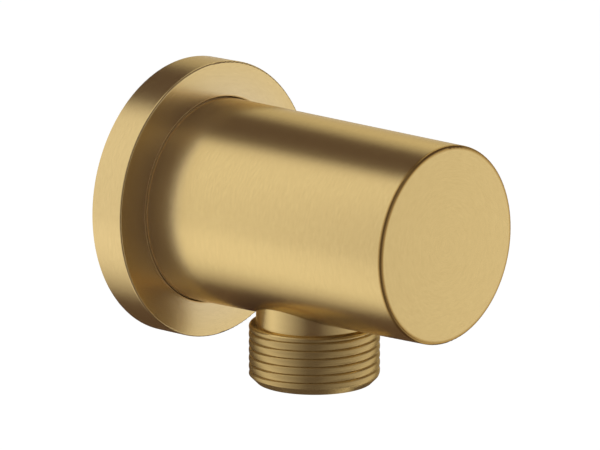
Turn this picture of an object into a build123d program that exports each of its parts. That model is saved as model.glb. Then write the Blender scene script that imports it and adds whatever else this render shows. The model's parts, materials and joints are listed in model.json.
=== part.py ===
"""Wall outlet elbow: a wall escutcheon, a tapered barrel and a threaded outlet that points down.

Millimetres. The wall is the plane Y = 0 and the part stands out of it along -Y, with +Z up.
The origin is on the inlet's axis, in the wall plane.
"""

import os

from build123d import *

# Barrel
barrel_base_diameter = 33.4
barrel_front_diameter = 31.45
barrel_front_rounding = 0.5
barrel_back_chamfer = 0.4
barrel_wall_gap = 0.5

# Where the outlet stands: from the wall to its axis, and from there to the barrel's front
outlet_distance = 27.3
front_length = 27.6

# Waterway, drilled from the back
waterway_diameter = 11.0
waterway_overrun = 2.0
drill_point_depth = 3.3

# Both nipples end in the same half inch parallel pipe thread
thread_diameter = 20.955
thread_chamfer = 1.2

# Outlet nipple: its neck is turned down by the step, and shows by the neck length under the barrel
neck_step = 1.15
neck_length = 0.65
outlet_lead_chamfer = 0.5
outlet_thread_length = 9.55
outlet_mouth_chamfer = 0.5

# Inlet nipple, with the hexagon socket that a key turns it by
inlet_reach = 11.0
inlet_shoulder_width = 1.8
inlet_mouth_chamfer = 0.5
key_step = 0.5
key_depth = 8.0

# Metal that is left between the sockets, and between the outlet socket and the waterway
socket_wall = 5.0
outlet_floor_wall = 4.1

# Flat seals at the inner ends of the nipples
seal_thickness = 1.5
seal_bore_margin = 0.5

# Escutcheon
escutcheon_width = 5.75
escutcheon_thickness = 6.3
escutcheon_front_rounding = 0.3
escutcheon_back_chamfer = 0.1
escutcheon_hole_rounding = 0.1

# Groove in the escutcheon's hole, for the ring that grips the barrel
grip_groove_depth = 1.4
grip_groove_width = 2.2

# Groove in the escutcheon's back, for the seal against the wall
wall_seal_depth = 1.5
wall_seal_width = 2.2
wall_seal_edge_wall = 1.0

# Clearances, each a difference of two radii
escutcheon_clearance = 0.05
socket_clearance = 0.05
seal_clearance = 0.05

# Places along the barrel's axis, from the wall towards the front
barrel_back = -barrel_wall_gap
outlet_y = -outlet_distance
barrel_front = outlet_y - front_length

# Radii
barrel_base_radius = barrel_base_diameter / 2
barrel_front_radius = barrel_front_diameter / 2
thread_radius = thread_diameter / 2
waterway_radius = waterway_diameter / 2
neck_radius = thread_radius - neck_step
inlet_spigot_radius = thread_radius - inlet_shoulder_width
seal_bore_radius = waterway_radius + seal_bore_margin
key_inner_radius = waterway_radius + key_step
outlet_socket_radius = neck_radius + socket_clearance
inlet_socket_radius = inlet_spigot_radius + socket_clearance

# Waterway and inlet socket, along the barrel's axis
waterway_end = outlet_y - waterway_radius - waterway_overrun
inlet_socket_end = outlet_y + outlet_socket_radius + socket_wall
inlet_spigot_end = inlet_socket_end + seal_thickness


def barrel_radius_at(y):
    """Radius of the tapered barrel at a place along its axis."""
    share = (barrel_back - y) / (barrel_back - barrel_front)
    return barrel_base_radius + share * (barrel_front_radius - barrel_base_radius)


# Outlet socket and nipple, along the outlet's axis
outlet_socket_floor = -waterway_radius - outlet_floor_wall
outlet_spigot_end = outlet_socket_floor - seal_thickness
neck_end = -barrel_radius_at(outlet_y) - neck_length
outlet_end = neck_end - outlet_thread_length

# Escutcheon: its grip groove lies midway in the metal in front of the wall seal's groove
escutcheon_hole_radius = barrel_base_radius + escutcheon_clearance
escutcheon_radius = escutcheon_hole_radius + escutcheon_width
grip_groove_radius = escutcheon_hole_radius + grip_groove_depth
grip_groove_y = -(escutcheon_thickness + wall_seal_depth) / 2
wall_seal_outer_radius = escutcheon_radius - escutcheon_back_chamfer - wall_seal_edge_wall
wall_seal_inner_radius = wall_seal_outer_radius - wall_seal_width

outlet_axis = Axis((0, outlet_y, 0), (0, 0, 1))
outlet_profile_plane = Plane.XZ.offset(outlet_distance)

# Elbow body: the barrel's half section, turned about the inlet's axis
with BuildPart() as elbow_body:
    with BuildSketch(Plane.XY):
        with BuildLine():
            Polyline(
                (0, barrel_back),
                (barrel_base_radius, barrel_back),
                (barrel_front_radius, barrel_front),
                (0, barrel_front),
                close=True,
            )
        make_face()
    revolve(axis=Axis.Y)
    fillet(elbow_body.edges().sort_by(Axis.Y)[0], radius=barrel_front_rounding)
    chamfer(elbow_body.edges().sort_by(Axis.Y)[-1], length=barrel_back_chamfer)
    # Inlet socket and the blind waterway in front of it, with the drill's point
    with BuildSketch(Plane.XY):
        with BuildLine():
            Polyline(
                (0, barrel_back),
                (inlet_socket_radius, barrel_back),
                (inlet_socket_radius, inlet_socket_end),
                (waterway_radius, inlet_socket_end),
                (waterway_radius, waterway_end),
                (0, waterway_end - drill_point_depth),
                close=True,
            )
        make_face()
    revolve(axis=Axis.Y, mode=Mode.SUBTRACT)
    # Outlet socket from below, and its hole up into the waterway
    with BuildSketch(outlet_profile_plane):
        with BuildLine():
            Polyline(
                (0, 0),
                (waterway_radius, 0),
                (waterway_radius, outlet_socket_floor),
                (outlet_socket_radius, outlet_socket_floor),
                (outlet_socket_radius, -barrel_base_diameter),
                (0, -barrel_base_diameter),
                close=True,
            )
        make_face()
    revolve(axis=outlet_axis, mode=Mode.SUBTRACT)
elbow_body.part.label = "elbow_body"

# Outlet nipple: spigot, plain neck, threaded end and through bore, turned about the outlet's axis
with BuildPart() as outlet_nipple:
    with BuildSketch(outlet_profile_plane):
        with BuildLine():
            Polyline(
                (waterway_radius, outlet_spigot_end),
                (neck_radius, outlet_spigot_end),
                (neck_radius, neck_end),
                (thread_radius - outlet_lead_chamfer, neck_end),
                (thread_radius, neck_end - outlet_lead_chamfer),
                (thread_radius, outlet_end + thread_chamfer),
                (thread_radius - thread_chamfer, outlet_end),
                (waterway_radius + outlet_mouth_chamfer, outlet_end),
                (waterway_radius, outlet_end + outlet_mouth_chamfer),
                close=True,
            )
        make_face()
    revolve(axis=outlet_axis)
outlet_nipple.part.label = "outlet_nipple"

# Inlet nipple: threaded end for the wall pipe, and a spigot whose shoulder seats on the barrel's back
with BuildPart() as inlet_nipple:
    with BuildSketch(Plane.XY):
        with BuildLine():
            Polyline(
                (waterway_radius, inlet_spigot_end),
                (inlet_spigot_radius, inlet_spigot_end),
                (inlet_spigot_radius, barrel_back),
                (thread_radius, barrel_back),
                (thread_radius, inlet_reach - thread_chamfer),
                (thread_radius - thread_chamfer, inlet_reach),
                (key_inner_radius + inlet_mouth_chamfer, inlet_reach),
                (waterway_radius, inlet_reach - inlet_mouth_chamfer - key_step),
                close=True,
            )
        make_face()
    revolve(axis=Axis.Y)
    with BuildSketch(Plane.XZ.offset(-inlet_reach)):
        RegularPolygon(radius=key_inner_radius, side_count=6, major_radius=False)
    extrude(amount=key_depth, mode=Mode.SUBTRACT)
inlet_nipple.part.label = "inlet_nipple"

# Inlet seal, flat between the inlet nipple and its socket's floor
with BuildPart() as inlet_seal:
    with BuildSketch(Plane.XZ.offset(-inlet_spigot_end)):
        Circle(inlet_spigot_radius - seal_clearance)
        Circle(seal_bore_radius, mode=Mode.SUBTRACT)
    extrude(amount=seal_thickness)
inlet_seal.part.label = "inlet_seal"

# Outlet seal, flat between the outlet nipple and its socket's floor
with BuildPart() as outlet_seal:
    with BuildSketch(Plane.XY.offset(outlet_spigot_end)):
        with Locations((0, outlet_y)):
            Circle(neck_radius - seal_clearance)
            Circle(seal_bore_radius, mode=Mode.SUBTRACT)
    extrude(amount=seal_thickness)
outlet_seal.part.label = "outlet_seal"

# Wall escutcheon: a flat ring with a groove in its hole and another in its back
with BuildPart() as wall_escutcheon:
    with BuildSketch(Plane.XZ):
        Circle(escutcheon_radius)
        Circle(escutcheon_hole_radius, mode=Mode.SUBTRACT)
    extrude(amount=escutcheon_thickness)
    front_edges = wall_escutcheon.faces().sort_by(Axis.Y)[0].edges().sort_by(SortBy.LENGTH)
    back_edges = wall_escutcheon.faces().sort_by(Axis.Y)[-1].edges()
    fillet(front_edges[-1], radius=escutcheon_front_rounding)
    fillet(front_edges[0], radius=escutcheon_hole_rounding)
    chamfer(back_edges, length=escutcheon_back_chamfer)
    with BuildSketch(Plane.XY):
        with Locations((escutcheon_hole_radius, grip_groove_y)):
            Rectangle(2 * grip_groove_depth, grip_groove_width)
    revolve(axis=Axis.Y, mode=Mode.SUBTRACT)
    with BuildSketch(Plane.XZ):
        Circle(wall_seal_outer_radius)
        Circle(wall_seal_inner_radius, mode=Mode.SUBTRACT)
    extrude(amount=wall_seal_depth, mode=Mode.SUBTRACT)
wall_escutcheon.part.label = "wall_escutcheon"

# Grip ring: its section fills the space between the barrel and the groove's floor
grip_space = grip_groove_radius - barrel_radius_at(grip_groove_y)
with BuildPart() as escutcheon_o_ring:
    with BuildSketch(Plane.XY):
        with Locations((grip_groove_radius - grip_space / 2, grip_groove_y)):
            Circle(grip_space / 2 - seal_clearance)
    revolve(axis=Axis.Y)
escutcheon_o_ring.part.label = "escutcheon_o_ring"

# Wall seal in the escutcheon's back, level with the wall plane
with BuildPart() as wall_seal:
    with BuildSketch(Plane.XZ):
        Circle(wall_seal_outer_radius - seal_clearance)
        Circle(wall_seal_inner_radius + seal_clearance, mode=Mode.SUBTRACT)
    extrude(amount=wall_seal_depth)
wall_seal.part.label = "wall_seal"

os.makedirs("parts", exist_ok=True)
pieces = [
    elbow_body,
    outlet_nipple,
    inlet_nipple,
    inlet_seal,
    outlet_seal,
    wall_escutcheon,
    escutcheon_o_ring,
    wall_seal,
]
for piece in pieces:
    export_step(piece.part, f"parts/{piece.part.label}.step")
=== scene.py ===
"""Dresses the wall outlet elbow and sets it in a plain white studio.

Metres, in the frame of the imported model: the wall is the plane Y = 0, the barrel stands out of it along -Y,
the outlet points down along -Z, and the origin is on the inlet's axis in the wall plane.
"""

import json
import logging
import math
from abc import ABC
from abc import abstractmethod
from dataclasses import dataclass
from enum import Enum
from typing import Callable
from typing import Mapping
from typing import Optional
from typing import Sequence
from typing import Union

import bmesh
import bpy
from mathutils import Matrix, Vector


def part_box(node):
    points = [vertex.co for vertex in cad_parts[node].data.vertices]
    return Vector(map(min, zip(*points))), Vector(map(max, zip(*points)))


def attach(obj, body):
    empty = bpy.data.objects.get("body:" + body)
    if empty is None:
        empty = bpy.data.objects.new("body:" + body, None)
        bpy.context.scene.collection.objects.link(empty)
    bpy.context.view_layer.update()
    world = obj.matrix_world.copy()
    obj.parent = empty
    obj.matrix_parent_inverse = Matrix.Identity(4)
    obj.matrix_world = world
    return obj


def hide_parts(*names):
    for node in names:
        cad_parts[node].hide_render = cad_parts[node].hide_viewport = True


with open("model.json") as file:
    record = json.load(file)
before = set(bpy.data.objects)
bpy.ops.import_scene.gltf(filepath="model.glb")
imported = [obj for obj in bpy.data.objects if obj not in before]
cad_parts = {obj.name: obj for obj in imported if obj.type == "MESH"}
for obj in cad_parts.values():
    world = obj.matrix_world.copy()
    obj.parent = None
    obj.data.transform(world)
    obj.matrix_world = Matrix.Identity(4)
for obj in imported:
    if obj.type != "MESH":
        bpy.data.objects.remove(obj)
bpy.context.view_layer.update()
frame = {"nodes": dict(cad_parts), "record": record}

log = logging.getLogger("wall_outlet_elbow")

MM = 0.001
BODY = "root"
NOISE_MEAN = 0.5
WHITE = (1.0, 1.0, 1.0)

Colour = tuple[float, float, float]
ProfilePoint = tuple[float, float]
RadiusAt = Callable[[float], float]
Number = Union["Signal", float]
SocketValue = Union["Signal", float, Sequence[float]]


class Slot(Enum):
    """Material slots of the record."""

    BRUSHED_GOLD = "brushed_gold"
    TURNED_GOLD = "turned_gold"
    PLAIN_BRASS = "plain_brass"
    BLACK_RUBBER = "black_rubber"


class Turning(Enum):
    """The axis that a piece was turned and brushed about."""

    INLET = "inlet"
    OUTLET = "outlet"


class Blend(Enum):
    """How one colour goes on another."""

    COVER = "MIX"
    TINT = "MULTIPLY"


def mount(name: str) -> dict:
    """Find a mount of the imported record.

    Args:
        name: The mount's name.

    Returns:
        The mount's entry.
    """
    return next(entry for entry in frame["record"]["mounts"] if entry["name"] == name)


OUTLET_THREAD = mount("outlet_thread")
OUTLET_PLACE = Vector(OUTLET_THREAD["pos_m"])
BARREL_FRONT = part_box("elbow_body")[0].y
ESCUTCHEON_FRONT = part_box("wall_escutcheon")[0].y
ESCUTCHEON_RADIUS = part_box("wall_escutcheon")[1].x


class Signal:
    """An output socket whose arithmetic adds Math nodes to its tree."""

    def __init__(self, tree: "ShaderTree", socket: bpy.types.NodeSocket) -> None:
        """Keep the socket and the tree that it is in."""
        self.tree = tree
        self.socket = socket

    def _math(self, operation: str, first: Number, second: Number) -> "Signal":
        """Add a Math node on two numbers."""
        return self.tree.node("ShaderNodeMath", {"operation": operation}, {0: first, 1: second})

    def __add__(self, other: Number) -> "Signal":
        """Sum."""
        return self._math("ADD", self, other)

    def __radd__(self, other: Number) -> "Signal":
        """Sum, reflected."""
        return self._math("ADD", other, self)

    def __sub__(self, other: Number) -> "Signal":
        """Difference."""
        return self._math("SUBTRACT", self, other)

    def __rsub__(self, other: Number) -> "Signal":
        """Difference, reflected."""
        return self._math("SUBTRACT", other, self)

    def __mul__(self, other: Number) -> "Signal":
        """Product."""
        return self._math("MULTIPLY", self, other)

    def __rmul__(self, other: Number) -> "Signal":
        """Product, reflected."""
        return self._math("MULTIPLY", other, self)

    def __truediv__(self, other: Number) -> "Signal":
        """Quotient."""
        return self._math("DIVIDE", self, other)

    def __rtruediv__(self, other: Number) -> "Signal":
        """Quotient, reflected."""
        return self._math("DIVIDE", other, self)

    def __pow__(self, other: Number) -> "Signal":
        """Power."""
        return self._math("POWER", self, other)

    def __rpow__(self, other: Number) -> "Signal":
        """Power, reflected."""
        return self._math("POWER", other, self)


class ShaderTree:
    """A node tree that is written one node at a time."""

    MIX_FACTOR = 0
    MIX_FIRST_COLOUR = 6
    MIX_SECOND_COLOUR = 7
    MIX_COLOUR_OUTPUT = 2

    def __init__(self, tree: bpy.types.NodeTree) -> None:
        """Empty the tree and keep it."""
        tree.nodes.clear()
        self.tree = tree

    def node(
        self,
        kind: str,
        settings: Optional[Mapping[str, object]] = None,
        inputs: Optional[Mapping[Union[int, str], SocketValue]] = None,
        output: Union[int, str] = 0,
    ) -> Optional[Signal]:
        """Add a node.

        Args:
            kind: The node's type.
            settings: Attributes of the node, set before its sockets.
            inputs: Values or links of its input sockets, by name or number.
            output: The output socket to hand on.

        Returns:
            That output socket, or nothing from a node with no outputs.
        """
        node = self.tree.nodes.new(kind)
        for name, value in (settings or {}).items():
            setattr(node, name, value)
        for name, value in (inputs or {}).items():
            if isinstance(value, Signal):
                self.tree.links.new(value.socket, node.inputs[name])
            else:
                node.inputs[name].default_value = value
        return Signal(self, node.outputs[output]) if node.outputs else None

    def mix(self, factor: Number, first: SocketValue, second: SocketValue, blend: Blend) -> Signal:
        """Blend two colours.

        Args:
            factor: Share of the second colour.
            first: The colour at 0.
            second: The colour at 1.
            blend: How the second goes on the first.

        Returns:
            The blended colour.
        """
        settings = {"data_type": "RGBA", "blend_type": blend.value}
        inputs = {self.MIX_FACTOR: factor, self.MIX_FIRST_COLOUR: first, self.MIX_SECOND_COLOUR: second}
        return self.node("ShaderNodeMix", settings, inputs, self.MIX_COLOUR_OUTPUT)

    def ramp(self, value: Signal, start: float, end: float) -> Signal:
        """Give 0 before the start, 1 past the end, and an even rise between them.

        Args:
            value: The number that rises or falls from the start to the end.
            start: Where the ramp leaves 0.
            end: Where it reaches 1.

        Returns:
            The ramp's height.
        """
        span = {"Value": value, "From Min": start, "From Max": end}
        return self.node("ShaderNodeMapRange", {"interpolation_type": "LINEAR"}, span)

    def noise(self, point: Signal, size: float, detail: float, finer: float = 0.5) -> Signal:
        """Give a soft noise.

        Args:
            point: Where it is read.
            size: Size of its grain.
            detail: How many finer layers it has.
            finer: Strength of each finer layer against the one before.

        Returns:
            The noise, near NOISE_MEAN on average.
        """
        values = {"Vector": point, "Scale": 1 / size, "Detail": detail, "Roughness": finer}
        return self.node("ShaderNodeTexNoise", {"noise_dimensions": "3D"}, values)

    def place(self) -> tuple[Signal, Signal, Signal]:
        """Give the shaded point's place in the part's frame as three numbers."""
        point = self.node("ShaderNodeTexCoord", output="Object")
        return tuple(self.node("ShaderNodeSeparateXYZ", None, {0: point}, axis) for axis in "XYZ")


def blank_material(name: str) -> tuple[bpy.types.Material, ShaderTree]:
    """Make a material with no nodes in it yet.

    Args:
        name: The material's name.

    Returns:
        The material and its empty tree.
    """
    material = bpy.data.materials.new(name)
    material.use_nodes = True
    return material, ShaderTree(material.node_tree)


def rgba(colour: Colour) -> tuple[float, float, float, float]:
    """Add full opacity to a colour."""
    return (*colour, 1.0)


def from_axis(first: Signal, second: Signal) -> Signal:
    """Give the distance from an axis, from the two places across it."""
    return (first * first + second * second) ** 0.5


@dataclass(frozen=True)
class BrushLines:
    """Fine lines that run round a turning axis, on sides and on flat faces alike.

    Attributes:
        spacing: Distance from line to line.
        length: How far a line runs before it fades.
        lean: Slope of the lines against the plane across the axis.
        detail: How many finer layers the lines have.
        finer: Strength of each finer layer against the one before.
    """

    spacing: float
    length: float
    lean: float = 0.0
    detail: float = 2.0
    finer: float = 0.55

    def signal(self, tree: ShaderTree, turning: Turning) -> Signal:
        """Write the lines into a tree.

        Args:
            tree: The tree to write to.
            turning: The axis that the lines run round.

        Returns:
            The lines' strength, near NOISE_MEAN on average.
        """
        x, y, z = tree.place()
        if turning is Turning.INLET:
            first, second, along = x, z, y
        else:
            first, second, along = x, y - OUTLET_PLACE.y, z
        across = along + from_axis(first, second) + first * self.lean
        stretched = tree.node(
            "ShaderNodeCombineXYZ",
            None,
            {"X": first / self.length, "Y": across / self.spacing, "Z": second / self.length},
        )
        return tree.noise(stretched, 1.0, self.detail, self.finer)


@dataclass(frozen=True, kw_only=True)
class Zone(ABC):
    """Part of a piece whose finish differs from the rest, mostly by a tint that paints in shade, light and
    reflection tone.

    Attributes:
        tint: Factor on each part of the colour.
        scatter: Share of the light that is scattered more and mirrored less.
        marks: Tool marks in the zone, if there are any.
        mark_gain: Height of the marks, as a multiple of the brush lines' relief.
    """

    tint: Colour
    scatter: float = 0.0
    marks: Optional[BrushLines] = None
    mark_gain: float = 0.0

    @abstractmethod
    def cover(self, tree: ShaderTree) -> Signal:
        """Write how far a point lies in the zone.

        Args:
            tree: The tree to write to.

        Returns:
            1 in the zone and 0 outside it.
        """


@dataclass(frozen=True, kw_only=True)
class CutAndShadeZone(Zone):
    """The threaded end of a nipple, which a tool cut after the brushing. Its darker tint is painted shade
    under the barrel.

    Attributes:
        top: Height under which the zone starts.
        blend: Height over which it sets in.
    """

    top: float
    blend: float

    def cover(self, tree: ShaderTree) -> Signal:
        """Give 1 under the top and 0 above it."""
        return tree.ramp(tree.place()[2], self.top, self.top - self.blend)


@dataclass(frozen=True, kw_only=True)
class ShadedEdgeZone(Zone):
    """A rounded front edge about the inlet's axis, darkened with painted shade.

    Attributes:
        front: Place of the flat front along the axis.
        radius: Radius of the piece at its front.
        width: Width of the rounding.
        border: Share of the width over which the zone sets in.
    """

    front: float
    radius: float
    width: float
    border: float = 0.4

    def cover(self, tree: ShaderTree) -> Signal:
        """Write how far a point lies on the rounding.

        Args:
            tree: The tree to write to.

        Returns:
            1 on the rounding and 0 on the flat front and on the side.
        """
        x, y, z = tree.place()
        fade = self.width * self.border
        side = self.front + self.width
        flat = self.radius - self.width
        return tree.ramp(y, side, side - fade) * tree.ramp(from_axis(x, z), flat, flat + fade)


@dataclass(frozen=True, kw_only=True)
class NeckShadeZone(Zone):
    """Metal close round the outlet's neck, darkened with painted shade.

    Attributes:
        near: Distance from the outlet's axis where the zone is whole.
        far: Distance where it ends.
        height: Height above which it ends.
        blend: Drop from there over which it sets in.
    """

    near: float
    far: float
    height: float
    blend: float

    def cover(self, tree: ShaderTree) -> Signal:
        """Write how close to the neck a point lies.

        Args:
            tree: The tree to write to.

        Returns:
            1 by the neck and 0 away from it.
        """
        x, y, z = tree.place()
        distance = from_axis(x, y - OUTLET_PLACE.y)
        return tree.ramp(distance, self.far, self.near) * tree.ramp(z, self.height, self.height - self.blend)


@dataclass(frozen=True, kw_only=True)
class PaintedFootZone(Zone):
    """Metal in a ring round the barrel's foot, with a painted tint that stands in for light and reflection.

    Attributes:
        near: Distance from the inlet's axis where the zone is whole.
        far: Distance where it ends.
        whole: Place along the axis where the zone is whole.
        front: Place in front of which it ends.
    """

    near: float
    far: float
    whole: float
    front: float

    def cover(self, tree: ShaderTree) -> Signal:
        """Write how close to the foot a point lies.

        Args:
            tree: The tree to write to.

        Returns:
            1 at the foot and 0 away from it.
        """
        x, y, z = tree.place()
        return tree.ramp(from_axis(x, z), self.far, self.near) * tree.ramp(y, self.front, self.whole)


@dataclass(frozen=True)
class BrushedMetal:
    """Satin metal with brush lines round the axis it was turned about.

    Attributes:
        name: The material's name.
        pale: Colour between the lines.
        deep: Colour in the lines.
        edge_tint: Colour that a glancing view takes on.
        metallic: Share of the light that is mirrored. The rest is scattered by the brushing.
        roughness: Mean roughness.
        roughness_swing: How much the lines change the roughness.
        streaks: Broad lines, which shift colour and gloss.
        hatch: Broad lines that lean the other way.
        scratches: Fine lines between them.
        broad_share: Share of the broad lines in the colour. The rest is the fine lines'.
        contrast: How strongly the lines differ from the mean.
        relief: Height of the broad lines.
        relief_strength: Share of the relief that shows.
        scattered_gloss: Gloss of the light that is scattered.
        zones: Parts of the piece whose finish differs, with tints that paint in shade, light and reflection
            tone.
    """

    name: str
    pale: Colour
    deep: Colour
    edge_tint: Colour
    metallic: float
    roughness: float
    roughness_swing: float
    streaks: BrushLines
    hatch: BrushLines
    scratches: BrushLines
    contrast: float
    relief: float
    relief_strength: float
    broad_share: float = 0.6
    scattered_gloss: float = 0.0
    zones: tuple[Zone, ...] = ()

    def material(self, turning: Turning) -> bpy.types.Material:
        """Make the material.

        Args:
            turning: The axis that the lines run round.

        Returns:
            The material.
        """
        material, tree = blank_material(f"{self.name}_{turning.value}")
        streaks = self.streaks.signal(tree, turning)
        hatch = self.hatch.signal(tree, turning)
        scratches = self.scratches.signal(tree, turning)
        broad = (streaks + hatch) / 2
        mixed = broad * self.broad_share + scratches * (1 - self.broad_share)
        swing = (mixed - NOISE_MEAN) * self.contrast
        colour = tree.mix(NOISE_MEAN + swing, rgba(self.deep), rgba(self.pale), Blend.COVER)
        height = broad
        metallic: Number = self.metallic
        for zone in self.zones:
            cover = zone.cover(tree)
            # Zone tints paint shade, light and reflection tone into the colour
            colour = tree.mix(cover, colour, rgba(zone.tint), Blend.TINT)
            if zone.scatter:
                metallic = metallic - cover * zone.scatter
            if zone.marks:
                height = height + cover * zone.marks.signal(tree, turning) * zone.mark_gain
        normal = tree.node(
            "ShaderNodeBump",
            None,
            {"Strength": self.relief_strength, "Distance": self.relief, "Height": height},
        )
        shader = tree.node(
            "ShaderNodeBsdfPrincipled",
            None,
            {
                "Base Color": colour,
                "Metallic": metallic,
                "Specular IOR Level": self.scattered_gloss,
                "Specular Tint": rgba(self.edge_tint),
                "Roughness": self.roughness + swing * self.roughness_swing,
                "Normal": normal,
            },
        )
        tree.node("ShaderNodeOutputMaterial", None, {"Surface": shader})
        return material


@dataclass(frozen=True)
class Rubber:
    """Matt rubber with a fine moulded grain.

    Attributes:
        name: The material's name.
        colour: Mean colour.
        bloom: Paler colour in patches.
        roughness: Mean roughness.
        roughness_swing: How much the patches change the roughness.
        grain: Size of the grain.
        patch: Size of the paler patches.
        relief: Height of the grain.
        relief_strength: Share of the relief that shows.
        grain_detail: How many finer layers the grain has.
        patch_detail: How many finer layers the patches have.
    """

    name: str
    colour: Colour
    bloom: Colour
    roughness: float
    roughness_swing: float
    grain: float
    patch: float
    relief: float
    relief_strength: float
    grain_detail: float = 2.0
    patch_detail: float = 3.0

    def material(self) -> bpy.types.Material:
        """Make the material.

        Returns:
            The material.
        """
        material, tree = blank_material(self.name)
        point = tree.node("ShaderNodeTexCoord", output="Object")
        grain = tree.noise(point, self.grain, self.grain_detail)
        patches = tree.noise(point, self.patch, self.patch_detail)
        normal = tree.node(
            "ShaderNodeBump",
            None,
            {"Strength": self.relief_strength, "Distance": self.relief, "Height": grain},
        )
        shader = tree.node(
            "ShaderNodeBsdfPrincipled",
            None,
            {
                "Base Color": tree.mix(patches, rgba(self.colour), rgba(self.bloom), Blend.COVER),
                "Roughness": self.roughness + (patches - NOISE_MEAN) * self.roughness_swing,
                "Normal": normal,
            },
        )
        tree.node("ShaderNodeOutputMaterial", None, {"Surface": shader})
        return material


# Finishes
BRUSHED_GOLD = BrushedMetal(
    name=Slot.BRUSHED_GOLD.value,
    pale=(0.800, 0.598, 0.264),
    deep=(0.690, 0.500, 0.212),
    edge_tint=(0.80, 0.70, 0.50),
    metallic=0.9,
    roughness=0.24,
    roughness_swing=0.03,
    streaks=BrushLines(spacing=0.26 * MM, length=1.7 * MM, lean=0.10),
    hatch=BrushLines(spacing=0.20 * MM, length=1.2 * MM, lean=-0.12),
    scratches=BrushLines(spacing=0.12 * MM, length=0.9 * MM),
    contrast=2.7,
    relief=0.012 * MM,
    relief_strength=0.035,
    zones=(
        # Painted shade on the rounded edge of the barrel's flat front
        ShadedEdgeZone(front=BARREL_FRONT, radius=15.725 * MM, width=0.75 * MM, tint=(0.64, 0.54, 0.40)),
        # Painted reflection tone: the foot and the escutcheon's face are paler and bluer, to cool the
        # gold-in-gold reflections there
        PaintedFootZone(near=17 * MM, far=24 * MM, whole=-7 * MM, front=-14 * MM, tint=(0.96, 1.015, 1.32)),
        # Painted light: the mouth of the escutcheon's hole is browner and scatters more, which lifts the
        # shade in the gap round the barrel
        PaintedFootZone(
            near=16.9 * MM,
            far=17.05 * MM,
            whole=ESCUTCHEON_FRONT,
            front=ESCUTCHEON_FRONT - 0.3 * MM,
            tint=(1.06, 0.95, 0.77),
            scatter=0.3,
        ),
        # Painted shade on the underside round the neck, which also dulls the orange reflection of the nipple
        # there
        NeckShadeZone(near=9.8 * MM, far=14.0 * MM, height=-8 * MM, blend=2 * MM, tint=(0.48, 0.50, 0.64)),
    ),
)
TURNED_GOLD = BrushedMetal(
    name=Slot.TURNED_GOLD.value,
    pale=(0.800, 0.595, 0.262),
    deep=(0.676, 0.488, 0.208),
    edge_tint=(0.80, 0.70, 0.50),
    metallic=0.9,
    roughness=0.23,
    roughness_swing=0.08,
    streaks=BrushLines(spacing=0.32 * MM, length=14 * MM),
    hatch=BrushLines(spacing=0.22 * MM, length=11 * MM),
    scratches=BrushLines(spacing=0.09 * MM, length=8 * MM),
    contrast=2.4,
    relief=0.014 * MM,
    relief_strength=0.2,
    zones=(
        # The cut thread: tool marks from the cut, and a darker tint that is painted shade under the barrel
        CutAndShadeZone(
            top=-17.1 * MM,
            blend=0.2 * MM,
            tint=(0.72, 0.695, 0.66),
            scatter=0.12,
            marks=BrushLines(spacing=0.13 * MM, length=20 * MM),
            mark_gain=12.0,
        ),
    ),
)
PLAIN_BRASS = BrushedMetal(
    name=Slot.PLAIN_BRASS.value,
    pale=(0.730, 0.590, 0.300),
    deep=(0.640, 0.490, 0.225),
    edge_tint=(0.80, 0.70, 0.50),
    metallic=0.9,
    roughness=0.32,
    roughness_swing=0.14,
    streaks=BrushLines(spacing=0.40 * MM, length=12 * MM),
    hatch=BrushLines(spacing=0.26 * MM, length=9 * MM),
    scratches=BrushLines(spacing=0.10 * MM, length=6 * MM),
    contrast=2.0,
    relief=0.016 * MM,
    relief_strength=0.35,
)
BLACK_RUBBER = Rubber(
    name=f"{Slot.BLACK_RUBBER.value}_moulded",
    colour=(0.020, 0.020, 0.021),
    bloom=(0.036, 0.036, 0.037),
    roughness=0.62,
    roughness_swing=0.2,
    grain=0.18 * MM,
    patch=4 * MM,
    relief=0.02 * MM,
    relief_strength=0.4,
)


@dataclass(frozen=True)
class Spindle:
    """The axis that the loops of a turned mesh are set round.

    Attributes:
        origin: The point on the axis where places along it start.
        first: Unit vector across the axis, where angles start.
        second: Unit vector across the axis, a quarter turn on.
        along: Unit vector of the axis. The three make a right-hand set.
    """

    origin: Vector
    first: Vector
    second: Vector
    along: Vector

    def point(self, radius: float, angle: float, place: float) -> Vector:
        """Give the point at a radius, an angle and a place along the axis."""
        across = self.first * (radius * math.cos(angle)) + self.second * (radius * math.sin(angle))
        return self.origin + across + self.along * place


@dataclass(frozen=True)
class ThreadForm:
    """Right-hand thread with broad rounded crests and narrow grooves.

    Attributes:
        pitch: Distance from crest to crest.
        rounding: Drop of a crest from its middle to the grooves beside it.
        depth: Depth of a groove under that.
        narrowing: How narrow the grooves are, as a power.
        rows: Mesh rows over one pitch.
    """

    pitch: float
    rounding: float
    depth: float
    narrowing: float
    rows: int

    def drop(self, turns: float) -> float:
        """Give how far the surface lies under the crest.

        Args:
            turns: Place in pitches, with a groove at each whole number.

        Returns:
            The drop in radius.
        """
        from_crest = 1 - 2 * abs(turns - round(turns))
        return self.rounding * from_crest**2 + self.depth * from_crest**self.narrowing


PIPE_THREAD = ThreadForm(pitch=1.31 * MM, rounding=0.13 * MM, depth=0.17 * MM, narrowing=8.0, rows=22)


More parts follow.
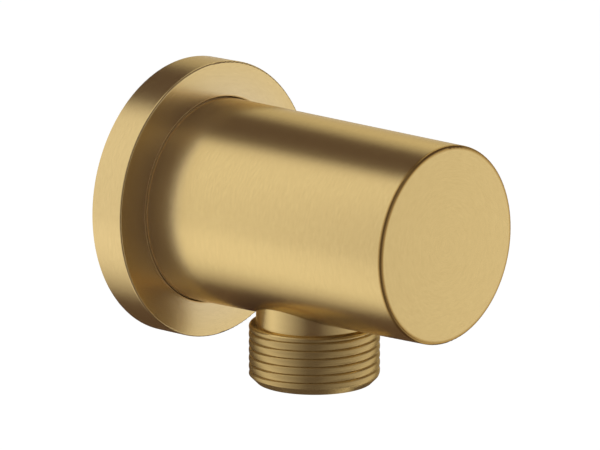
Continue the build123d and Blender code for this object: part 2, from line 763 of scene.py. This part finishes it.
def eased(
    points: Sequence[ProfilePoint],
    radius: float,
    steps: int = 4,
    longest: float = 1 / 3,
) -> list[ProfilePoint]:
    """Round the inner corners of an open profile.

    Args:
        points: Radius and place of each corner.
        radius: How far from a corner its rounding starts.
        steps: Straight pieces in a rounding.
        longest: Largest share of a side that a rounding may take.

    Returns:
        The profile's points, with each inner corner as a short curve.
    """
    result = [points[0]]
    for before, corner, after in zip(points, points[1:], points[2:]):
        middle = Vector(corner)
        back = Vector(before) - middle
        ahead = Vector(after) - middle
        reach = min(radius, back.length * longest, ahead.length * longest)
        start = middle + back.normalized() * reach
        end = middle + ahead.normalized() * reach
        for step in range(steps + 1):
            share = step / steps
            bend = start.lerp(middle, share).lerp(middle.lerp(end, share), share)
            result.append(tuple(bend))
    result.append(points[-1])
    return result


class TurnedMesh:
    """A closed turned surface that grows by bands of faces round a spindle."""

    MERGE_DISTANCE = 0.001 * MM
    CREASE = math.radians(32)
    SPARE_TURNS = 2

    def __init__(self, spindle: Spindle, segments: int) -> None:
        """Start with no faces.

        Args:
            spindle: The axis to turn about.
            segments: Vertices in each loop.
        """
        self.spindle = spindle
        self.segments = segments
        self.mesh = bmesh.new()

    def vertex(self, radius: float, index: int, place: float) -> bmesh.types.BMVert:
        """Add a vertex at a radius, a segment and a place along the axis."""
        return self.mesh.verts.new(self.spindle.point(radius, self.angle(index), place))

    def angle(self, index: int) -> float:
        """Give the angle of a segment."""
        return 2 * math.pi * index / self.segments

    def loops(self, shapes: Sequence[tuple[RadiusAt, float]]) -> None:
        """Add a band of faces through flat loops.

        Args:
            shapes: For each loop, its radius at an angle, and its place along the axis.
        """
        before: list[bmesh.types.BMVert] = []
        for radius, place in shapes:
            loop = [self.vertex(radius(self.angle(i)), i, place) for i in range(self.segments)]
            for i in range(self.segments if before else 0):
                after = (i + 1) % self.segments
                self.mesh.faces.new((before[i], before[after], loop[after], loop[i]))
            before = loop

    def profile(self, points: Sequence[ProfilePoint]) -> None:
        """Add a band of faces through round loops, at each radius and place of a profile."""
        self.loops([(lambda angle, r=radius: r, place) for radius, place in points])

    def thread(
        self,
        form: ThreadForm,
        span: tuple[float, float],
        limit: RadiusAt,
        crest: float,
        phase: float,
    ) -> None:
        """Add a band that follows a thread's helix, held between two planes across the axis.

        Args:
            form: The thread's form.
            span: Places of the two planes.
            limit: Largest radius at a place, where the thread's ends are chamfered.
            crest: Radius over the crests.
            phase: Place of a groove at angle 0.
        """
        start, end = span
        first_turn = math.floor((start - phase) / form.pitch) - self.SPARE_TURNS
        last_turn = math.ceil((end - phase) / form.pitch) + self.SPARE_TURNS
        rows = []
        for count in range((last_turn - first_turn) * form.rows):
            row = []
            for index in range(self.segments):
                rise = index / self.segments
                place = phase + (first_turn + count / form.rows + rise) * form.pitch
                place = min(max(place, start), end)
                groove = form.drop((place - phase) / form.pitch - rise)
                row.append(self.vertex(min(crest - groove, limit(place)), index, place))
            rows.append(row)
        last = self.segments - 1
        for lower, upper in zip(rows, rows[1:]):
            for i in range(last):
                self.mesh.faces.new((lower[i], lower[i + 1], upper[i + 1], upper[i]))
        whole = zip(rows, rows[1:], rows[form.rows:], rows[form.rows + 1:])
        for lower, upper, lower_next, upper_next in whole:
            self.mesh.faces.new((lower[last], lower_next[0], upper_next[0], upper[last]))

    def finish(self, name: str) -> bpy.types.Object:
        """Close the surface and hand it over as an object in the scene.

        Args:
            name: The object's name.

        Returns:
            The object.
        """
        bmesh.ops.remove_doubles(self.mesh, verts=self.mesh.verts, dist=self.MERGE_DISTANCE)
        bmesh.ops.dissolve_degenerate(self.mesh, edges=self.mesh.edges, dist=self.MERGE_DISTANCE)
        loose = [vertex for vertex in self.mesh.verts if not vertex.link_faces]
        bmesh.ops.delete(self.mesh, geom=loose, context="VERTS")
        bmesh.ops.recalc_face_normals(self.mesh, faces=self.mesh.faces)
        open_edges = sum(1 for edge in self.mesh.edges if not edge.is_manifold)
        log.info("%s: %d faces, %d open edges", name, len(self.mesh.faces), open_edges)
        data = bpy.data.meshes.new(name)
        self.mesh.to_mesh(data)
        self.mesh.free()
        data.shade_smooth()
        data.set_sharp_from_angle(angle=self.CREASE)
        piece = bpy.data.objects.new(name, data)
        bpy.context.scene.collection.objects.link(piece)
        return piece


def dress(piece: bpy.types.Object, material: bpy.types.Material) -> None:
    """Give a piece one material all over.

    Args:
        piece: The piece.
        material: Its material.
    """
    piece.data.materials.clear()
    piece.data.materials.append(material)


@dataclass
class OutletNipple:
    """Neck and hose thread under the barrel, with a bore through it.

    Attributes:
        bore_radius: Radius of the bore.
        neck_step: How far the neck is turned down from the thread.
        lead_chamfer: Chamfer at the shoulder under the neck.
        lead_length: Length over which the lead rounds into the thread.
        end_chamfer: Chamfer at the thread's outer end.
        mouth_chamfer: Chamfer at the bore's mouth.
        edge: Easing of the turned edges.
        crest_angle: Angle at which a crest's place is given.
        crest_place: Place of a crest there, from the inlet's axis down.
        segments: Vertices round the piece.
    """

    bore_radius: float = 5.5 * MM
    neck_step: float = 1.15 * MM
    lead_chamfer: float = 0.5 * MM
    lead_length: float = 0.65 * MM
    end_chamfer: float = 1.2 * MM
    mouth_chamfer: float = 0.5 * MM
    edge: float = 0.12 * MM
    crest_angle: float = math.radians(228.2)
    crest_place: float = 17.42 * MM
    segments: int = 180

    def lead(self, past: float) -> float:
        """Give how far the rounded lead has grown at a distance past the shoulder."""
        left = max(1 - past / self.lead_length, 0)
        return self.lead_chamfer * math.sqrt(1 - left**2)

    def build(self) -> bpy.types.Object:
        """Turn the nipple with its thread.

        Returns:
            The piece, which stands for the plain solid.
        """
        low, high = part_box("outlet_nipple")
        thread_radius = (high.x - low.x) / 2
        spigot_end = -high.z
        outlet_end = -low.z
        crest_start = -OUTLET_PLACE.z - OUTLET_THREAD["dims"]["length_mm"] * MM / 2
        neck_end = crest_start - self.lead_chamfer
        neck_radius = thread_radius - self.neck_step
        lead_radius = thread_radius - self.lead_chamfer
        end_radius = thread_radius - self.end_chamfer
        spindle = Spindle(
            origin=Vector((0, OUTLET_PLACE.y, 0)),
            first=Vector((1, 0, 0)),
            second=Vector((0, -1, 0)),
            along=Vector((0, 0, -1)),
        )
        mesh = TurnedMesh(spindle, self.segments)
        inner = [
            (end_radius, outlet_end),
            (self.bore_radius + self.mouth_chamfer, outlet_end),
            (self.bore_radius, outlet_end - self.mouth_chamfer),
            (self.bore_radius, spigot_end),
            (neck_radius, spigot_end),
            (neck_radius, neck_end),
            (lead_radius, neck_end),
        ]
        mesh.profile(eased(inner, self.edge))
        turn = self.crest_angle / (2 * math.pi)
        groove = self.crest_place - (turn + 0.5) * PIPE_THREAD.pitch
        mesh.thread(
            PIPE_THREAD,
            (neck_end, outlet_end),
            lambda place: min(lead_radius + self.lead(place - neck_end), end_radius + outlet_end - place),
            thread_radius,
            groove,
        )
        piece = mesh.finish("outlet_nipple_threaded")
        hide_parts("outlet_nipple")
        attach(piece, BODY)
        return piece

    def dress(self, piece: bpy.types.Object) -> None:
        """Give the nipple its turned gold."""
        dress(piece, TURNED_GOLD.material(Turning.OUTLET))


@dataclass
class InletNipple:
    """Pipe thread behind the wall plane, with a hexagon socket for a key.

    Attributes:
        bore_radius: Radius of the bore.
        spigot_radius: Radius of the spigot inside the barrel.
        shoulder_place: Where the shoulder seats on the barrel's back.
        end_chamfer: Chamfer at the thread's outer end.
        relief_length: Length of the thread relief at the shoulder.
        key_inner_radius: Half the hexagon's width across its flats.
        key_depth: Depth of the hexagon.
        mouth_chamfer: Chamfer at the hexagon's mouth.
        mouth_steps: Mesh steps in that chamfer.
        edge: Easing of the turned edges.
        segments: Vertices round the piece, a multiple of the hexagon's six corners.
    """

    bore_radius: float = 5.5 * MM
    spigot_radius: float = 8.6775 * MM
    shoulder_place: float = -0.5 * MM
    end_chamfer: float = 1.2 * MM
    relief_length: float = 0.6 * MM
    key_inner_radius: float = 6.0 * MM
    key_depth: float = 8.0 * MM
    mouth_chamfer: float = 0.5 * MM
    mouth_steps: int = 6
    edge: float = 0.12 * MM
    segments: int = 180

    def hexagon(self, angle: float) -> float:
        """Give the hexagon's radius at an angle, with a corner at angle 0."""
        sixth = math.pi / 3
        return self.key_inner_radius / math.cos(angle % sixth - sixth / 2)

    def build(self) -> bpy.types.Object:
        """Turn the nipple with its thread and socket.

        Returns:
            The piece, which stands for the plain solid.
        """
        low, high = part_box("inlet_nipple")
        thread_radius = (high.x - low.x) / 2
        spigot_end = low.y
        reach = high.y
        relief_radius = thread_radius - PIPE_THREAD.drop(0)
        end_radius = thread_radius - self.end_chamfer
        key_end = reach - self.key_depth
        spindle = Spindle(
            origin=Vector((0, 0, 0)),
            first=Vector((1, 0, 0)),
            second=Vector((0, 0, -1)),
            along=Vector((0, 1, 0)),
        )
        mesh = TurnedMesh(spindle, self.segments)
        mouth = self.key_inner_radius + self.mouth_chamfer
        socket: list[tuple[RadiusAt, float]] = [(lambda angle: end_radius, reach)]
        for step in range(self.mouth_steps + 1):
            depth = self.mouth_chamfer * step / self.mouth_steps
            socket.append((lambda angle, r=mouth - depth: max(r, self.hexagon(angle)), reach - depth))
        socket.append((self.hexagon, key_end))
        socket.append((lambda angle: self.bore_radius, key_end))
        mesh.loops(socket)
        inner = [
            (self.bore_radius, key_end),
            (self.bore_radius, spigot_end),
            (self.spigot_radius, spigot_end),
            (self.spigot_radius, self.shoulder_place),
            (relief_radius, self.shoulder_place),
        ]
        mesh.profile(eased(inner, self.edge))
        relief_end = self.shoulder_place + self.relief_length
        mesh.thread(
            PIPE_THREAD,
            (self.shoulder_place, reach),
            lambda place: min(relief_radius + max(place - relief_end, 0), end_radius + reach - place),
            thread_radius,
            reach,
        )
        piece = mesh.finish("inlet_nipple_threaded")
        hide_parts("inlet_nipple")
        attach(piece, BODY)
        return piece

    def dress(self, piece: bpy.types.Object) -> None:
        """Give the nipple its plain brass."""
        dress(piece, PLAIN_BRASS.material(Turning.INLET))


@dataclass
class BrushedShell:
    """Barrel and escutcheon, which keep their solids and share one finish.

    Attributes:
        nodes: The solids' names.
    """

    nodes: tuple[str, ...] = ("elbow_body", "wall_escutcheon")

    def dress(self) -> None:
        """Give both solids brushed gold."""
        material = BRUSHED_GOLD.material(Turning.INLET)
        for node in self.nodes:
            dress(frame["nodes"][node], material)
            log.info("%s: dressed in %s", node, material.name)


@dataclass
class Seals:
    """Rubber rings in the joints, which keep their solids.

    Attributes:
        nodes: The solids' names.
    """

    nodes: tuple[str, ...] = ("inlet_seal", "outlet_seal", "escutcheon_o_ring", "wall_seal")

    def dress(self) -> None:
        """Give all rings black rubber."""
        material = BLACK_RUBBER.material()
        for node in self.nodes:
            dress(frame["nodes"][node], material)
            log.info("%s: dressed in %s", node, material.name)


def direction(azimuth: float, elevation: float) -> Vector:
    """Give the unit vector to a place round the part.

    Args:
        azimuth: Degrees round from the front, -Y, towards the right, +X.
        elevation: Degrees above the horizon.

    Returns:
        The unit vector.
    """
    turn = math.radians(azimuth)
    rise = math.radians(elevation)
    return Vector((math.sin(turn) * math.cos(rise), -math.cos(turn) * math.cos(rise), math.sin(rise)))


def plane_object(name: str, width: float, height: float) -> bpy.types.Object:
    """Make a flat rectangle across its own Z axis.

    Args:
        name: The object's name.
        width: Size along X.
        height: Size along Y.

    Returns:
        The object, linked to the scene.
    """
    x = width / 2
    y = height / 2
    data = bpy.data.meshes.new(name)
    data.from_pydata([(-x, -y, 0), (x, -y, 0), (x, y, 0), (-x, y, 0)], [], [(0, 1, 2, 3)])
    piece = bpy.data.objects.new(name, data)
    bpy.context.scene.collection.objects.link(piece)
    return piece


def glow_material(name: str, colour: Colour, cover: Callable[[ShaderTree], Signal]) -> bpy.types.Material:
    """Make a screen's glow, which is clear where the screen fades out.

    Args:
        name: The material's name.
        colour: Colour where the screen is whole.
        cover: Writes how whole it is, from 0 to 1, into a tree.

    Returns:
        The material.
    """
    material, tree = blank_material(name)
    clear = tree.node("ShaderNodeBsdfTransparent")
    glow = tree.node("ShaderNodeEmission", None, {"Color": rgba(colour)})
    both = tree.node("ShaderNodeMixShader", None, {0: cover(tree), 1: clear, 2: glow})
    tree.node("ShaderNodeOutputMaterial", None, {"Surface": both})
    return material


def stand_screen(data: bpy.types.Mesh, material: bpy.types.Material) -> None:
    """Put a screen in the scene so that only reflections see it.

    Args:
        data: The screen's mesh.
        material: Its glow.
    """
    screen = bpy.data.objects.new(data.name, data)
    bpy.context.scene.collection.objects.link(screen)
    screen.visible_camera = False
    screen.visible_diffuse = False
    screen.visible_shadow = False
    dress(screen, material)


@dataclass(frozen=True)
class SoftSpan:
    """A span of degrees that fades in at both ends.

    Attributes:
        first: Degrees at the first end.
        last: Degrees at the last end.
        first_fade: Degrees over which it fades in from the first end.
        last_fade: Degrees over which it fades in from the last end.
    """

    first: float
    last: float
    first_fade: float
    last_fade: float

    def at(self, share: float) -> float:
        """Give the degrees at a share of the span."""
        return self.first + share * (self.last - self.first)

    def cover(self, tree: ShaderTree, share: Signal) -> Signal:
        """Write how whole the span is at a place in it.

        Args:
            tree: The tree to write to.
            share: Place from the first end, 0, to the last, 1.

        Returns:
            0 at both ends, and 1 between the fades.
        """
        degrees = self.last - self.first
        rise = tree.ramp(share, 0, self.first_fade / degrees)
        return rise * tree.ramp(share, 1, 1 - self.last_fade / degrees)


@dataclass(frozen=True)
class Screen:
    """A curved screen round the part with soft borders, which only reflections see.

    Attributes:
        name: The screen's name.
        azimuths: Its azimuths, from the front towards the right.
        elevations: Its elevations, from the lowest to the highest.
        distance: Distance from the part.
        colour: Colour where it is whole.
        steps: Mesh steps each way.
    """

    name: str
    azimuths: SoftSpan
    elevations: SoftSpan
    distance: float
    colour: Colour
    steps: int = 32

    def cover(self, tree: ShaderTree) -> Signal:
        """Write how whole the screen is at a point of it.

        Args:
            tree: The tree to write to.

        Returns:
            0 at the borders, and 1 inside the fades.
        """
        sheet = tree.node("ShaderNodeTexCoord", output="UV")
        across, upward = (tree.node("ShaderNodeSeparateXYZ", None, {0: sheet}, axis) for axis in "XY")
        return self.azimuths.cover(tree, across) * self.elevations.cover(tree, upward)

    def build(self) -> None:
        """Set the screen up."""
        shares = [step / self.steps for step in range(self.steps + 1)]
        corners = [(across, upward) for upward in shares for across in shares]
        places = []
        for across, upward in corners:
            toward = direction(self.azimuths.at(across), self.elevations.at(upward))
            places.append(toward * self.distance)
        row = self.steps + 1
        starts = [low * row + i for low in range(self.steps) for i in range(self.steps)]
        data = bpy.data.meshes.new(self.name)
        data.from_pydata(places, [], [(s, s + 1, s + row + 1, s + row) for s in starts])
        sheet = data.uv_layers.new(name="sheet")
        for loop in data.loops:
            sheet.data[loop.index].uv = corners[loop.vertex_index]
        stand_screen(data, glow_material(self.name, self.colour, self.cover))


@dataclass(frozen=True)
class RingScreen:
    """A flat ring about the inlet's axis with a soft outer border, which only reflections see.

    Attributes:
        name: The ring's name.
        place: Its place along the axis.
        inner_radius: Radius of its hole.
        whole_radius: Radius where it starts to fade.
        outer_radius: Radius where it ends.
        colour: Colour where it is whole.
        segments: Mesh steps round it.
    """

    name: str
    place: float
    inner_radius: float
    whole_radius: float
    outer_radius: float
    colour: Colour
    segments: int = 96

    def cover(self, tree: ShaderTree) -> Signal:
        """Write 1 on the ring and 0 at its outer border."""
        x, _, z = tree.place()
        return tree.ramp(from_axis(x, z), self.outer_radius, self.whole_radius)

    def build(self) -> None:
        """Set the ring up."""
        turns = [2 * math.pi * step / self.segments for step in range(self.segments)]
        places = []
        for radius in (self.inner_radius, self.outer_radius):
            places += [(radius * math.cos(turn), self.place, radius * math.sin(turn)) for turn in turns]
        faces = []
        for step in range(self.segments):
            after = (step + 1) % self.segments
            faces.append((step, after, after + self.segments, step + self.segments))
        data = bpy.data.meshes.new(self.name)
        data.from_pydata(places, [], faces)
        stand_screen(data, glow_material(self.name, self.colour, self.cover))


# Colours of the screens
GREY = (0.70, 0.68, 0.62)
DIM = (0.32, 0.28, 0.23)
SHADE = (0.052, 0.017, 0.012)
LOW_SHADE = (0.076, 0.034, 0.026)
DUSK = (0.096, 0.067, 0.064)


@dataclass(frozen=True)
class Lamp:
    """A square soft lamp that faces the part.

    Attributes:
        name: The lamp's name.
        azimuth: Degrees round from the front towards the right.
        elevation: Degrees above the horizon.
        distance: Distance from the part.
        size: Side of the square.
        power: Watts.
    """

    name: str
    azimuth: float
    elevation: float
    distance: float
    size: float
    power: float

    def build(self) -> None:
        """Set the lamp up."""
        data = bpy.data.lights.new(self.name, "AREA")
        data.size = self.size
        data.energy = self.power
        lamp = bpy.data.objects.new(self.name, data)
        toward = direction(self.azimuth, self.elevation)
        lamp.location = toward * self.distance
        lamp.rotation_euler = toward.to_track_quat("Z", "Y").to_euler()
        lamp.visible_glossy = False
        bpy.context.scene.collection.objects.link(lamp)


@dataclass
class Studio:
    """White room with screens, soft lamps and the photograph's camera.

    Attributes:
        floor_height: Height of the floor.
        floor_size: Side of the floor.
        floor_shade: Grey of the floor's own surface.
        floor_glow: How much the floor is lifted for the camera and for reflections.
        ambient: Level of the room's soft light.
        screens: The screens that shape the reflections.
        lamps: The soft lamps.
        camera_azimuth: Degrees round from the front towards the right.
        camera_elevation: Degrees above the horizon.
        camera_distance: From the camera to the point it aims at.
        camera_aim: The point in the middle of the picture.
        camera_clip: Nearest distance that the camera sees.
        lens: Focal length.
        sensor: Width of the picture in the camera, in the lens's units.
    """

    floor_height: float = -0.6
    floor_size: float = 16.0
    floor_shade: float = 0.8
    floor_glow: float = 0.52
    ambient: float = 0.6
    screens: tuple[Union[Screen, RingScreen], ...] = (
        Screen("screen_behind", SoftSpan(129, 198, 14, 18), SoftSpan(-12, 90, 12, 4), 1.5, SHADE),
        Screen("screen_right_back", SoftSpan(104, 136, 10, 10), SoftSpan(-4, 26, 8, 12), 1.6, GREY),
        Screen("screen_below", SoftSpan(104, 218, 12, 40), SoftSpan(-88, 2, 4, 14), 0.5, LOW_SHADE),
        Screen("screen_under", SoftSpan(150, 510, 1, 1), SoftSpan(-90, -58, 1, 16), 0.45, SHADE),
        Screen("screen_right", SoftSpan(74, 112, 14, 14), SoftSpan(-60, 80, 20, 20), 1.2, DIM),
        Screen("screen_right_above", SoftSpan(-15, 100, 20, 20), SoftSpan(5, 90, 26, 4), 0.9, SHADE),
        Screen("screen_right_below", SoftSpan(-30, 50, 20, 16), SoftSpan(-76, -24, 1, 20), 0.8, SHADE),
        Screen("screen_right_low", SoftSpan(66, 126, 12, 16), SoftSpan(-76, -20, 1, 16), 0.75, SHADE),
        Screen("screen_camera_side", SoftSpan(-126, 50, 72, 86), SoftSpan(-88, 90, 4, 6), 0.2, DUSK),
        RingScreen(
            "screen_rim",
            place=ESCUTCHEON_FRONT - 0.03 * MM,
            inner_radius=ESCUTCHEON_RADIUS - 0.1 * MM,
            whole_radius=ESCUTCHEON_RADIUS + 0.4 * MM,
            outer_radius=ESCUTCHEON_RADIUS + 1.2 * MM,
            colour=DUSK,
        ),
    )
    lamps: tuple[Lamp, ...] = (
        Lamp("lamp_left", azimuth=-110, elevation=25, distance=2.0, size=1.2, power=6),
        Lamp("lamp_right", azimuth=50, elevation=35, distance=2.0, size=1.2, power=6),
    )
    camera_azimuth: float = -48.143
    camera_elevation: float = 13.113
    camera_distance: float = 0.863
    camera_aim: Vector = Vector((11.3226, -14.0745, -5.0228)) * MM
    camera_clip: float = 0.01
    lens: float = 319.78
    sensor: float = 36.0

    def set_world(self) -> None:
        """Make the room white to the camera and to reflections, and a soft light otherwise."""
        world = bpy.data.worlds.new("studio")
        world.use_nodes = True
        tree = ShaderTree(world.node_tree)
        strength = self.ambient + self.seen(tree) * (1 - self.ambient)
        background = tree.node("ShaderNodeBackground", None, {"Color": rgba(WHITE), "Strength": strength})
        tree.node("ShaderNodeOutputWorld", None, {"Surface": background})
        bpy.context.scene.world = world

    def seen(self, tree: ShaderTree) -> Signal:
        """Write which rays see the room itself and aren't only lit by it.

        Args:
            tree: The tree to write to.

        Returns:
            1 for rays from the camera, from reflections and through clear things, and 0 for others.
        """
        names = ("Is Camera Ray", "Is Glossy Ray", "Is Transmission Ray")
        camera, glossy, clear = (tree.node("ShaderNodeLightPath", output=name) for name in names)
        return camera + glossy + clear

    def set_floor(self) -> None:
        """Lay the pale floor, which shows as white and keeps the part's shadow."""
        material, tree = blank_material("studio_floor")
        grey = (self.floor_shade, self.floor_shade, self.floor_shade)
        surface = tree.node("ShaderNodeBsdfDiffuse", None, {"Color": rgba(grey)})
        glow = tree.node("ShaderNodeEmission", None, {"Strength": self.seen(tree) * self.floor_glow})
        both = tree.node("ShaderNodeAddShader", None, {0: surface, 1: glow})
        tree.node("ShaderNodeOutputMaterial", None, {"Surface": both})
        floor = plane_object("studio_floor", self.floor_size, self.floor_size)
        floor.location.z = self.floor_height
        dress(floor, material)

    def set_camera(self) -> None:
        """Set the camera at the photograph's viewing angle."""
        data = bpy.data.cameras.new("camera")
        data.sensor_width = self.sensor
        data.lens = self.lens
        data.clip_start = self.camera_clip
        camera = bpy.data.objects.new("camera", data)
        back = direction(self.camera_azimuth, self.camera_elevation)
        camera.location = self.camera_aim + back * self.camera_distance
        camera.rotation_euler = back.to_track_quat("Z", "Y").to_euler()
        bpy.context.scene.collection.objects.link(camera)
        bpy.context.scene.camera = camera

    def build(self) -> None:
        """Set up the room, the floor, the screens, the lamps and the camera."""
        self.set_world()
        self.set_floor()
        for screen in self.screens:
            screen.build()
        for lamp in self.lamps:
            lamp.build()
        self.set_camera()
        bpy.context.scene.view_settings.view_transform = "Standard"


def main() -> None:
    """Build and dress the part, then set the studio."""
    logging.basicConfig(level=logging.INFO, format="%(name)s %(message)s")
    BrushedShell().dress()
    for nipple in (OutletNipple(), InletNipple()):
        piece = nipple.build()
        nipple.dress(piece)
        log.info("%s: built and dressed", piece.name)
    Seals().dress()
    Studio().build()


if __name__ == "__main__":
    main()
